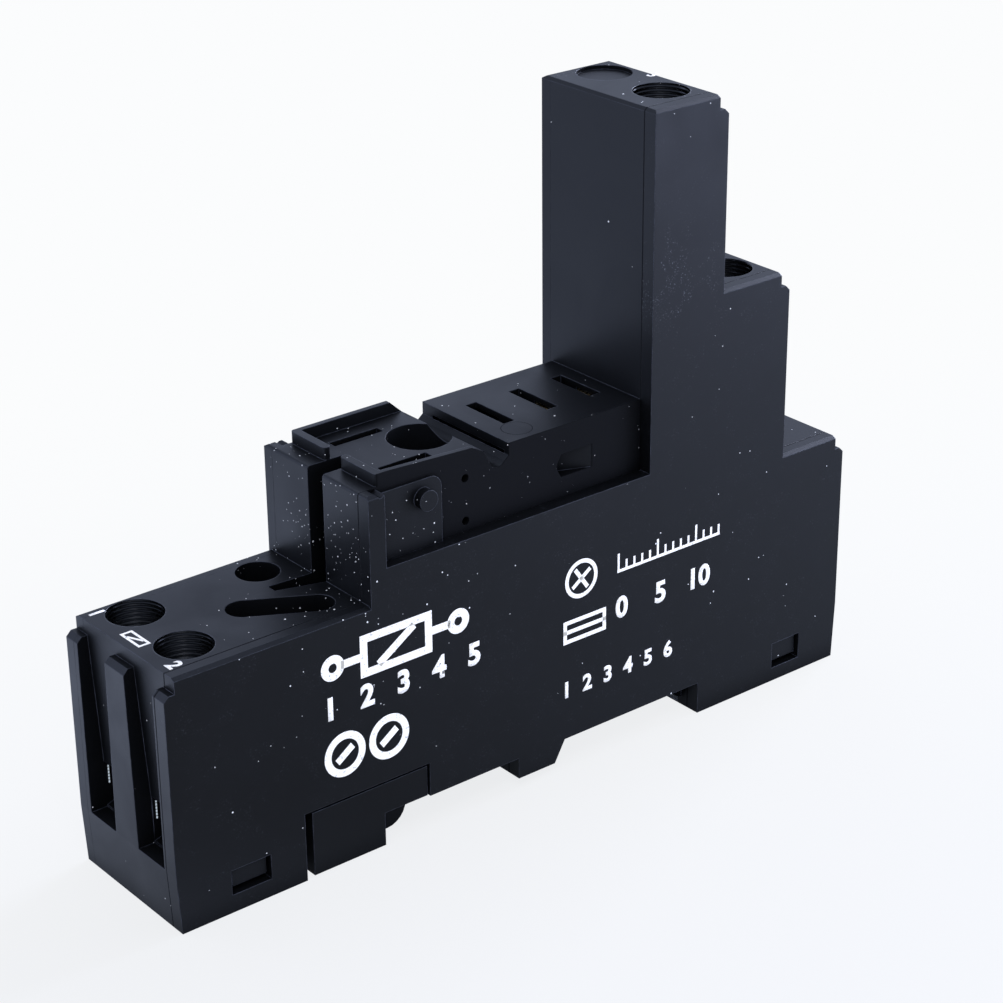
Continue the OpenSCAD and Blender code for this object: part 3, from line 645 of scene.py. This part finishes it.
@dataclass
class PrintSheet:
    """A flat drawing in ink, made in its own plane and then laid on a face of the socket.

    Its u runs to the reader's right and its v upwards, both in millimetres from the sheet's corner. A digit's
    height is a share of its font's size.
    """

    name: str
    corner: Vector
    turn: Triple
    ink_mm: float = 0.015
    digit_height: float = 0.69
    ring_sides: int = 48
    slant: float = 35.0
    marks: list[bpy.types.Object] = field(default_factory=list)

    def keep(self) -> None:
        """Takes the object that was just made into the drawing."""
        self.marks.append(bpy.context.object)
        bpy.ops.object.select_all(action="DESELECT")

    def stroke(self, start: Point, end: Point, width: float) -> None:
        """Draws a straight stroke.

        Args:
            start: Its first end.
            end: Its other end.
            width: Its width.
        """
        run, rise = end[0] - start[0], end[1] - start[1]
        middle = ((start[0] + end[0]) / 2 * MM, (start[1] + end[1]) / 2 * MM, 0)
        bpy.ops.mesh.primitive_plane_add(size=1, location=middle, rotation=(0, 0, math.atan2(rise, run)))
        bpy.context.object.scale = (math.hypot(run, rise) * MM, width * MM, 1)
        self.keep()

    def ring(self, centre: Point, radius: float, width: float) -> None:
        """Draws a ring.

        Args:
            centre: Its centre.
            radius: Its outer radius.
            width: Width of its line.
        """
        bpy.ops.mesh.primitive_circle_add(vertices=self.ring_sides, radius=radius * MM, fill_type="NGON",
                                          location=(centre[0] * MM, centre[1] * MM, 0))
        bpy.ops.object.mode_set(mode="EDIT")
        bpy.ops.mesh.select_all(action="SELECT")
        bpy.ops.mesh.inset(thickness=width * MM)
        bpy.ops.mesh.delete(type="FACE")
        bpy.ops.object.mode_set(mode="OBJECT")
        self.keep()

    def frame(self, low: Point, high: Point, width: float) -> None:
        """Draws the outline of a rectangle.

        Args:
            low: Its lower left corner.
            high: Its upper right corner.
            width: Width of its line.
        """
        half = width / 2
        for v in (low[1] + half, high[1] - half):
            self.stroke((low[0], v), (high[0], v), width)
        for u in (low[0] + half, high[0] - half):
            self.stroke((u, low[1] + width), (u, high[1] - width), width)

    def number(self, value: int, at: Point, height: float, bold: float = 0.05) -> None:
        """Writes a plain number, centred on a point of its foot line.

        Args:
            value: The number.
            at: Middle of its foot.
            height: Height of its digits.
            bold: How far its outline is thickened, as a share of the height.
        """
        bpy.ops.object.text_add(location=(at[0] * MM, at[1] * MM, 0))
        words = bpy.context.object.data
        words.body = str(value)
        words.size = height / self.digit_height * MM
        words.align_x = "CENTER"
        words.offset = bold * height * MM
        words.resolution_u = 4
        bpy.ops.object.convert(target="MESH")
        self.keep()

    def coil(self, low: Point, high: Point, width: float) -> None:
        """Draws a relay coil, which is a box with a slanted stroke across it.

        Args:
            low: Its lower left corner.
            high: Its upper right corner.
            width: Width of its line.
        """
        self.frame(low, high, width)
        quarter = (high[0] - low[0]) / 4
        self.stroke((low[0] + quarter, low[1] + width), (high[0] - quarter, high[1] - width), width)

    def screw_head(self, centre: Point, radius: float, width: float, slots: int) -> None:
        """Draws a screw head, which is a ring with one or two slanted slots that end short of it.

        Args:
            centre: Its centre.
            radius: Its outer radius.
            width: Width of its line.
            slots: One for a plain slot, two for a cross.
        """
        self.ring(centre, radius, width)
        reach = radius - 1.6 * width
        for index in range(slots):
            slant = math.radians(self.slant + 90 * index)
            du, dv = reach * math.cos(slant), reach * math.sin(slant)
            self.stroke((centre[0] - du, centre[1] - dv), (centre[0] + du, centre[1] + dv), width)

    def lay(self, ink: bpy.types.Material) -> bpy.types.Object:
        """Joins the drawing, gives the ink its thickness and lays it on its face.

        Args:
            ink: The ink's material.

        Returns:
            The finished piece.
        """
        for mark in self.marks:
            mark.select_set(True)
        bpy.context.view_layer.objects.active = self.marks[0]
        bpy.ops.object.transform_apply(location=True, rotation=True, scale=True)
        bpy.ops.object.join()
        piece = bpy.context.object
        piece.name = piece.data.name = self.name
        bpy.ops.object.modifier_add(type="SOLIDIFY")
        piece.modifiers[0].thickness = self.ink_mm * MM
        piece.modifiers[0].offset = 1
        bpy.ops.object.modifier_apply(modifier=piece.modifiers[0].name)
        piece.rotation_euler = self.turn
        piece.location = self.corner
        bpy.ops.object.transform_apply(location=True, rotation=True, scale=True)
        bpy.ops.object.select_all(action="DESELECT")
        piece.data.materials.clear()
        piece.data.materials.append(ink)
        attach(piece, "socket")
        LOG.info("printed %s with %d marks", self.name, len(self.marks))
        return piece


@dataclass
class CoilDiagram:
    """The coil diagram, a row of numbers and two screw heads, on the coil end of the cover."""

    corner_x: float = 16.0
    line: float = 0.8
    lead_v: float = 20.4
    leads: tuple[Span, ...] = ((2.1, 4.2), (12.2, 14.3))
    rings_u: Span = (1.2, 15.2)
    ring_radius: float = 1.25
    coil: tuple[Point, Point] = ((4.2, 18.3), (12.2, 22.5))
    numbers: int = 5
    first_number: Point = (0.8, 15.4)
    number_step: float = 4.05
    digit: float = 2.1
    digit_bold: float = 0.06
    screws: int = 2
    first_screw: Point = (2.2, 11.4)
    screw_step: float = 4.9
    screw_radius: float = 2.25
    screw_line: float = 0.74

    def draw(self, turn: Triple, ink: bpy.types.Material) -> None:
        """Prints it.

        Args:
            turn: Turn of the cover's face.
            ink: The ink's material.
        """
        sheet = PrintSheet("print_coil_diagram", place(self.corner_x, 0, 0), turn)
        for u in self.rings_u:
            sheet.ring((u, self.lead_v), self.ring_radius, self.line)
        for start, end in self.leads:
            sheet.stroke((start, self.lead_v), (end, self.lead_v), self.line)
        sheet.coil(*self.coil, self.line)
        for index in range(self.numbers):
            at = (self.first_number[0] + self.number_step * index, self.first_number[1])
            sheet.number(index + 1, at, self.digit, self.digit_bold)
        for index in range(self.screws):
            at = (self.first_screw[0] + self.screw_step * index, self.first_screw[1])
            sheet.screw_head(at, self.screw_radius, self.screw_line, 1)
        sheet.lay(ink)


@dataclass
class CoverRuler:
    """A crossed screw head, a boxed bar, a ruler and small numbers, on the cover under the relay seat."""

    corner_x: float = 43.4
    line: float = 0.42
    screw_at: Point = (2.5, 20.0)
    screw_radius: float = 2.0
    box: tuple[Point, Point] = ((0.3, 13.6), (5.6, 16.0))
    ruler_u: Span = (7.0, 20.3)
    ruler_v: float = 19.1
    ruler_line: float = 0.3
    ticks: int = 14
    tick_line: float = 0.24
    tick_step: float = 1.0
    tick_height: float = 1.15
    long_tick: float = 2.0
    long_every: int = 5
    label_at: Point = (7.6, 14.3)
    label_digit: float = 2.1
    numbers: int = 6
    first_number: Point = (0.7, 7.9)
    number_step: float = 2.6
    number_digit: float = 1.6

    def draw(self, turn: Triple, ink: bpy.types.Material) -> None:
        """Prints it.

        Args:
            turn: Turn of the cover's face.
            ink: The ink's material.
        """
        sheet = PrintSheet("print_ruler", place(self.corner_x, 0, 0), turn)
        sheet.screw_head(self.screw_at, self.screw_radius, self.line, 2)
        low, high = self.box
        middle_v = (low[1] + high[1]) / 2
        sheet.frame(low, high, self.line)
        sheet.stroke((low[0], middle_v), (high[0], middle_v), self.line)
        base = self.ruler_v + self.ruler_line / 2
        sheet.stroke((self.ruler_u[0], base), (self.ruler_u[1], base), self.ruler_line)
        foot = self.ruler_v + self.ruler_line
        for index in range(self.ticks):
            height = self.long_tick if index % self.long_every == 0 else self.tick_height
            u = self.ruler_u[0] + self.ruler_line / 2 + self.tick_step * index
            sheet.stroke((u, foot), (u, self.ruler_v + height), self.tick_line)
        for value in range(0, self.ticks, self.long_every):
            at = (self.label_at[0] + self.tick_step * value, self.label_at[1])
            sheet.number(value, at, self.label_digit)
        for index in range(self.numbers):
            at = (self.first_number[0] + self.number_step * index, self.first_number[1])
            sheet.number(index + 1, at, self.number_digit)
        sheet.lay(ink)


@dataclass
class StepNumbers:
    """The plain number of each terminal beside its bore, and the coil sign between the coil's two."""

    over_screw_mm: float = 3.52
    coil_corner: Point = (1.9, 15.8)
    coil_numbers_u: Span = (1.1, 13.6)
    coil_digit: float = 1.4
    coil_sign: tuple[Point, Point] = ((5.9, 0.05), (9.0, 1.3))
    sign_line: float = 0.26
    contacts: tuple[tuple[int, str, Point], ...] = ((3, "tower", (61.6, 9.0)), (4, "middle", (69.6, 9.3)),
                                                    (5, "low", (74.6, 6.4)))
    contact_digit: float = 1.2
    contact_bold: float = 0.03

    def step_top(self, terminal: str) -> float:
        """Finds the top of a terminal's step, in millimetres over the base, from its screw's head.

        Args:
            terminal: Name of the terminal.

        Returns:
            The height.
        """
        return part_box("screw_" + terminal)[1].z / MM + self.over_screw_mm

    def draw(self, turn: Triple, ink: bpy.types.Material) -> None:
        """Prints them.

        Args:
            turn: Turn of the steps' tops.
            ink: The ink's material.
        """
        coil = PrintSheet("print_coil_numbers", place(*self.coil_corner, self.step_top("coil_far")), turn)
        coil.number(1, (self.coil_numbers_u[0], 0), self.coil_digit)
        coil.coil(*self.coil_sign, self.sign_line)
        coil.number(2, (self.coil_numbers_u[1], 0), self.coil_digit)
        coil.lay(ink)
        for value, terminal, at in self.contacts:
            sheet = PrintSheet(f"print_{terminal}_number", place(*at, self.step_top(terminal)), turn)
            sheet.number(value, (0, 0), self.contact_digit, self.contact_bold)
            sheet.lay(ink)


@dataclass
class Printing:
    """White print of the socket: a wiring diagram, ruler marks and plain terminal numbers."""

    ink: PadPrint = PadPrint()
    upright: Triple = (math.radians(90), 0, 0)
    flat: Triple = (0, 0, math.radians(-90))

    def build(self) -> None:
        """Prints the whole socket."""
        ink = self.ink.material()
        CoilDiagram().draw(self.upright, ink)
        CoverRuler().draw(self.upright, ink)
        StepNumbers().draw(self.flat, ink)


@dataclass
class GuideLips:
    """Small serrated metal lips inside the two coil wire windows, which steer the wire into its cage."""

    width_mm: float = 0.16
    thick_mm: float = 0.12
    tall_mm: float = 1.95
    teeth: int = 6
    bite_mm: float = 0.08
    edge_mm: float = 0.015
    turn: float = -37.0
    inwards_mm: float = 2.02
    foot_mm: float = 8.25
    walls_y: tuple[tuple[str, float], ...] = (("far", 14.0), ("near", 6.05))
    off_wall_mm: float = 0.15
    off_cage_mm: float = 0.4
    metal: WorkedMetal = WorkedMetal("nickel_plated_lip", "e3e6dc", "a9aa9a", 0.22)

    def lip(self, name: str, foot: Vector, metal: bpy.types.Material) -> None:
        """Models one lip.

        Args:
            name: Name of the piece.
            foot: Middle of its lower edge.
            metal: Its material.
        """
        tall = self.tall_mm * MM
        bpy.ops.mesh.primitive_cube_add(size=1)
        piece = bpy.context.object
        piece.name = piece.data.name = name
        piece.scale = (self.width_mm * MM, self.thick_mm * MM, tall)
        piece.location = (0, 0, tall / 2)
        bpy.ops.object.transform_apply(location=True, rotation=True, scale=True)
        # The four upright edges are cut at each tooth's tip and foot
        bpy.ops.object.mode_set(mode="EDIT")
        bpy.ops.mesh.select_all(action="DESELECT")
        bpy.ops.mesh.select_mode(type="EDGE")
        bpy.ops.object.mode_set(mode="OBJECT")
        for edge in piece.data.edges:
            low, high = (piece.data.vertices[index].co for index in edge.vertices)
            edge.select = abs(low.z - high.z) > tall / 2
        bpy.ops.object.mode_set(mode="EDIT")
        bpy.ops.mesh.subdivide(number_cuts=2 * self.teeth - 1)
        bpy.ops.mesh.select_mode(type="VERT")
        bpy.ops.mesh.select_all(action="DESELECT")
        bpy.ops.object.mode_set(mode="OBJECT")
        # The tips, half way up each tooth, are pulled out on the front
        pitch = tall / self.teeth
        for vertex in piece.data.vertices:
            tip = abs(vertex.co.z / pitch % 1 - 0.5) < 0.1
            vertex.select = tip and vertex.co.y < 0
        bpy.ops.object.mode_set(mode="EDIT")
        bpy.ops.transform.translate(value=(0, -self.bite_mm * MM, 0))
        bpy.ops.object.mode_set(mode="OBJECT")
        bpy.ops.object.modifier_add(type="BEVEL")
        piece.modifiers[0].width = self.edge_mm * MM
        bpy.ops.object.modifier_apply(modifier=piece.modifiers[0].name)
        piece.rotation_euler = (0, 0, math.radians(self.turn))
        piece.location = foot
        bpy.ops.object.transform_apply(location=True, rotation=True, scale=True)
        bpy.ops.object.select_all(action="DESELECT")
        piece.data.materials.clear()
        piece.data.materials.append(metal)
        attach(piece, "socket")
        LOG.info("modelled %s", name)

    def build(self) -> None:
        """Models both lips, each at the far side of its window and just before its cage."""
        metal = self.metal.material()
        for row, wall_y in self.walls_y:
            cage_low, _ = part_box("clamp_coil_" + row)
            foot = place(self.inwards_mm, wall_y - self.off_wall_mm, self.foot_mm)
            foot.x = min(foot.x, cage_low.x - self.off_cage_mm * MM)
            self.lip("guide_lip_coil_" + row, foot, metal)


@dataclass(frozen=True)
class Lamp:
    """One soft square lamp: its place, side and aim in metres, its power in watts and its sRGB hex tint."""

    name: str
    at: Triple
    size: float
    power: float
    tint: str
    aim: Triple = (0, 0, 0.025)

    def hang(self) -> None:
        """Adds the lamp to the scene."""
        data = bpy.data.lights.new(self.name, "AREA")
        data.size = self.size
        data.energy = self.power
        data.color = linear(self.tint)[:3]
        lamp = bpy.data.objects.new(self.name, data)
        lamp.location = self.at
        lamp.rotation_euler = (Vector(self.at) - Vector(self.aim)).to_track_quat("Z", "Y").to_euler()
        bpy.context.scene.collection.objects.link(lamp)


@dataclass(frozen=True)
class WhiteTable:
    """A white table that keeps a soft shadow near the part and fades into the backdrop.

    Its sheens are painted reflections, colours that only glossy rays see: darker before the coil end,
    brighter to the right, and a brighter bluish one behind the left near the coil end.
    """

    side_m: float = 3.0
    paint: str = "eeedea"
    roughness: float = 0.7
    # Painted shade: the table is painted a little darker near the part and towards the front
    near: str = "ebedf0"
    glow: float = 0.78
    backwards: Triple = (0.38, 0.92, 0)
    fade_m: Span = (-0.13, 0.11)
    round_m: Span = (0.28, 0.9)
    # Painted reflections, seen only by glossy rays
    sheen_left: str = "6a6f76"
    sheen_right: str = "b8c2d6"
    sheen_m: Span = (-0.03, 0.07)
    window_wards: Triple = (-0.7, 0.7, 0)
    window_m: Span = (0.0, 0.06)
    window_end_m: Span = (0.05, 0.09)
    window_lift: float = 1.1

    def fade(self, tree: Tree, where: Signal) -> Signal:
        """Fades the table out, towards the back and all round the part.

        Args:
            tree: Node tree of the material.
            where: Object coordinates.

        Returns:
            One where the table has become the backdrop.
        """
        away = add(tree, "VectorMath", {0: where, 1: self.backwards}, operation="DOT_PRODUCT")
        back = add(tree, "MapRange", {"Value": away.outputs["Value"], "From Min": self.fade_m[0],
                                      "From Max": self.fade_m[1]}, interpolation_type="SMOOTHSTEP")
        reach = add(tree, "VectorMath", {0: where}, operation="LENGTH")
        far = add(tree, "MapRange", {"Value": reach.outputs["Value"], "From Min": self.round_m[0],
                                     "From Max": self.round_m[1]}, interpolation_type="SMOOTHSTEP")
        return add(tree, "Math", {0: back.outputs[0], 1: far.outputs[0]}, operation="MAXIMUM").outputs[0]

    def lay(self, backdrop: str, window: str) -> None:
        """Adds the table.

        Args:
            backdrop: Colour that it fades into.
            window: Colour of the painted reflection behind the left.
        """
        bpy.ops.mesh.primitive_plane_add(size=self.side_m, location=(0, 0, LOW.z))
        table = bpy.context.object
        table.name = "table"
        material, tree, out = new_material("white_table")
        where = add(tree, "TexCoord").outputs["Object"]
        path = add(tree, "LightPath")
        fade = self.fade(tree, where)
        share = add(tree, "MapRange", {"Value": fade, "To Min": self.glow, "To Max": 1.0})
        share = add(tree, "Math", {0: share.outputs[0], 1: seen_directly(tree)}, operation="MULTIPLY")
        # Painted shade: the darker near tone near the part and in front, the backdrop colour away from it
        tone = add(tree, "Mix", {0: fade, 6: linear(self.near), 7: linear(backdrop)}, data_type="RGBA")
        # Painted reflection: glossy rays see a colour that goes from dark on the left to bright on the right
        split = add(tree, "SeparateXYZ", {"Vector": where})
        along = add(tree, "MapRange", {"Value": split.outputs["X"], "From Min": self.sheen_m[0],
                                       "From Max": self.sheen_m[1]})
        sheen = add(tree, "Mix", {0: along.outputs[0], 6: linear(self.sheen_left),
                                  7: linear(self.sheen_right)}, data_type="RGBA")
        side = add(tree, "VectorMath", {0: where, 1: self.window_wards}, operation="DOT_PRODUCT")
        side = add(tree, "MapRange", {"Value": side.outputs["Value"], "From Min": self.window_m[0],
                                      "From Max": self.window_m[1]})
        sheen = add(tree, "Mix", {0: side.outputs[0], 6: sheen.outputs[2], 7: linear(window)},
                    data_type="RGBA")
        # Painted reflection: glossy rays see it brighter behind the left, near the coil end
        close = add(tree, "MapRange", {"Value": split.outputs["Y"], "From Min": self.window_end_m[0],
                                       "From Max": self.window_end_m[1], "To Min": 1.0, "To Max": 0.0})
        lift = add(tree, "Math", {0: side.outputs[0], 1: close.outputs[0]}, operation="MULTIPLY")
        lift = add(tree, "Math", {0: lift.outputs[0], 1: path.outputs["Is Glossy Ray"]}, operation="MULTIPLY")
        lift = add(tree, "Math", {0: lift.outputs[0], 1: self.window_lift, 2: 1.0}, operation="MULTIPLY_ADD")
        tone = add(tree, "Mix", {0: path.outputs["Is Glossy Ray"], 6: tone.outputs[2], 7: sheen.outputs[2]},
                   data_type="RGBA")
        matt = add(tree, "BsdfPrincipled", {"Base Color": linear(self.paint), "Roughness": self.roughness})
        white = add(tree, "Emission", {"Color": tone.outputs[2], "Strength": lift.outputs[0]})
        mix = add(tree, "MixShader", {0: share.outputs[0], 1: matt.outputs[0], 2: white.outputs[0]})
        tree.links.new(mix.outputs[0], out.inputs["Surface"])
        table.data.materials.append(material)


@dataclass
class Studio:
    """Camera, pale table, backdrop and soft lamps."""

    camera_at: Triple = (-0.13859, -0.17491, 0.12980)
    turn: float = -38.92
    rise: float = 24.72
    roll: float = -0.53
    lens_mm: float = 94.25
    sensor_mm: float = 36.0
    shift: Point = (-0.0017, -0.0027)
    clip_m: float = 0.01
    surround: str = "f2f5ff"
    surround_light: float = 0.8
    backdrop: str = "fbfcfd"
    # Painted reflection: a bluish colour that only glossy rays see, in the world and on the table
    sheen: str = "ccd8f4"
    table: WhiteTable = WhiteTable()
    lamps: tuple[Lamp, ...] = (
        Lamp("window_side", (0.8, 0.1, 0.3), 0.5, 14.0, "dbe3ff"),
        Lamp("near_fill", (0.17, -0.13, 0.03), 0.1, 0.2, "d3ddff"),
        Lamp("back_softbox", (0.3, 0.8, 0.4), 0.6, 0.4, "dbe3ff"),
        Lamp("left_softbox", (-0.45, 0.5, 0.16), 0.35, 0.7, "ccd8ff"),
        Lamp("over_shoulder", (-0.22, -0.36, 0.6), 0.2, 1.3, "f4f6ff"),
    )

    def camera(self) -> None:
        """Adds the camera."""
        a, e, r = (math.radians(x) for x in (self.turn, self.rise, self.roll))
        back = Vector((math.sin(a) * math.cos(e), -math.cos(a) * math.cos(e), math.sin(e)))
        right = Vector((math.cos(a), math.sin(a), 0))
        up = back.cross(right)
        right, up = math.cos(r) * right + math.sin(r) * up, math.cos(r) * up - math.sin(r) * right
        data = bpy.data.cameras.new("camera")
        data.lens = self.lens_mm
        data.sensor_width = self.sensor_mm
        data.clip_start = self.clip_m
        data.shift_x, data.shift_y = self.shift
        camera = bpy.data.objects.new("camera", data)
        camera.matrix_world = Matrix((right, up, back)).transposed().to_4x4()
        camera.location = self.camera_at
        bpy.context.scene.collection.objects.link(camera)
        bpy.context.scene.camera = camera

    def world(self) -> None:
        """Sets a pale surround that shows white and lights the part softly; glossy rays see a painted bluish
        reflection colour.
        """
        world = bpy.data.worlds.new("surround")
        bpy.context.scene.world = world
        world.use_nodes = True
        tree = world.node_tree
        tree.nodes.clear()
        light = add(tree, "Background", {"Color": linear(self.surround), "Strength": self.surround_light})
        path = add(tree, "LightPath")
        # Painted reflection: glossy rays see the bluish sheen colour, the camera sees the backdrop
        tone = add(tree, "Mix", {0: path.outputs["Is Glossy Ray"], 6: linear(self.backdrop),
                                 7: linear(self.sheen)}, data_type="RGBA")
        white = add(tree, "Background", {"Color": tone.outputs[2], "Strength": 1.0})
        mix = add(tree, "MixShader", {0: seen_directly(tree), 1: light.outputs[0], 2: white.outputs[0]})
        add(tree, "OutputWorld", {"Surface": mix.outputs[0]})

    def build(self) -> None:
        """Makes the table, the surround and the lamps."""
        bpy.ops.object.select_all(action="DESELECT")
        self.table.lay(self.backdrop, self.sheen)
        self.world()
        for lamp in self.lamps:
            lamp.hang()
            LOG.info("hung %s", lamp.name)
        bpy.context.scene.view_settings.view_transform = "Standard"


def main() -> None:
    """Builds the picture: camera first, then the studio and each part of the dressing."""
    studio = Studio()
    studio.camera()
    studio.build()
    Dressing().dress()
    Printing().build()
    GuideLips().build()


if __name__ == "__main__":
    logging.basicConfig(level=logging.INFO)
    main()
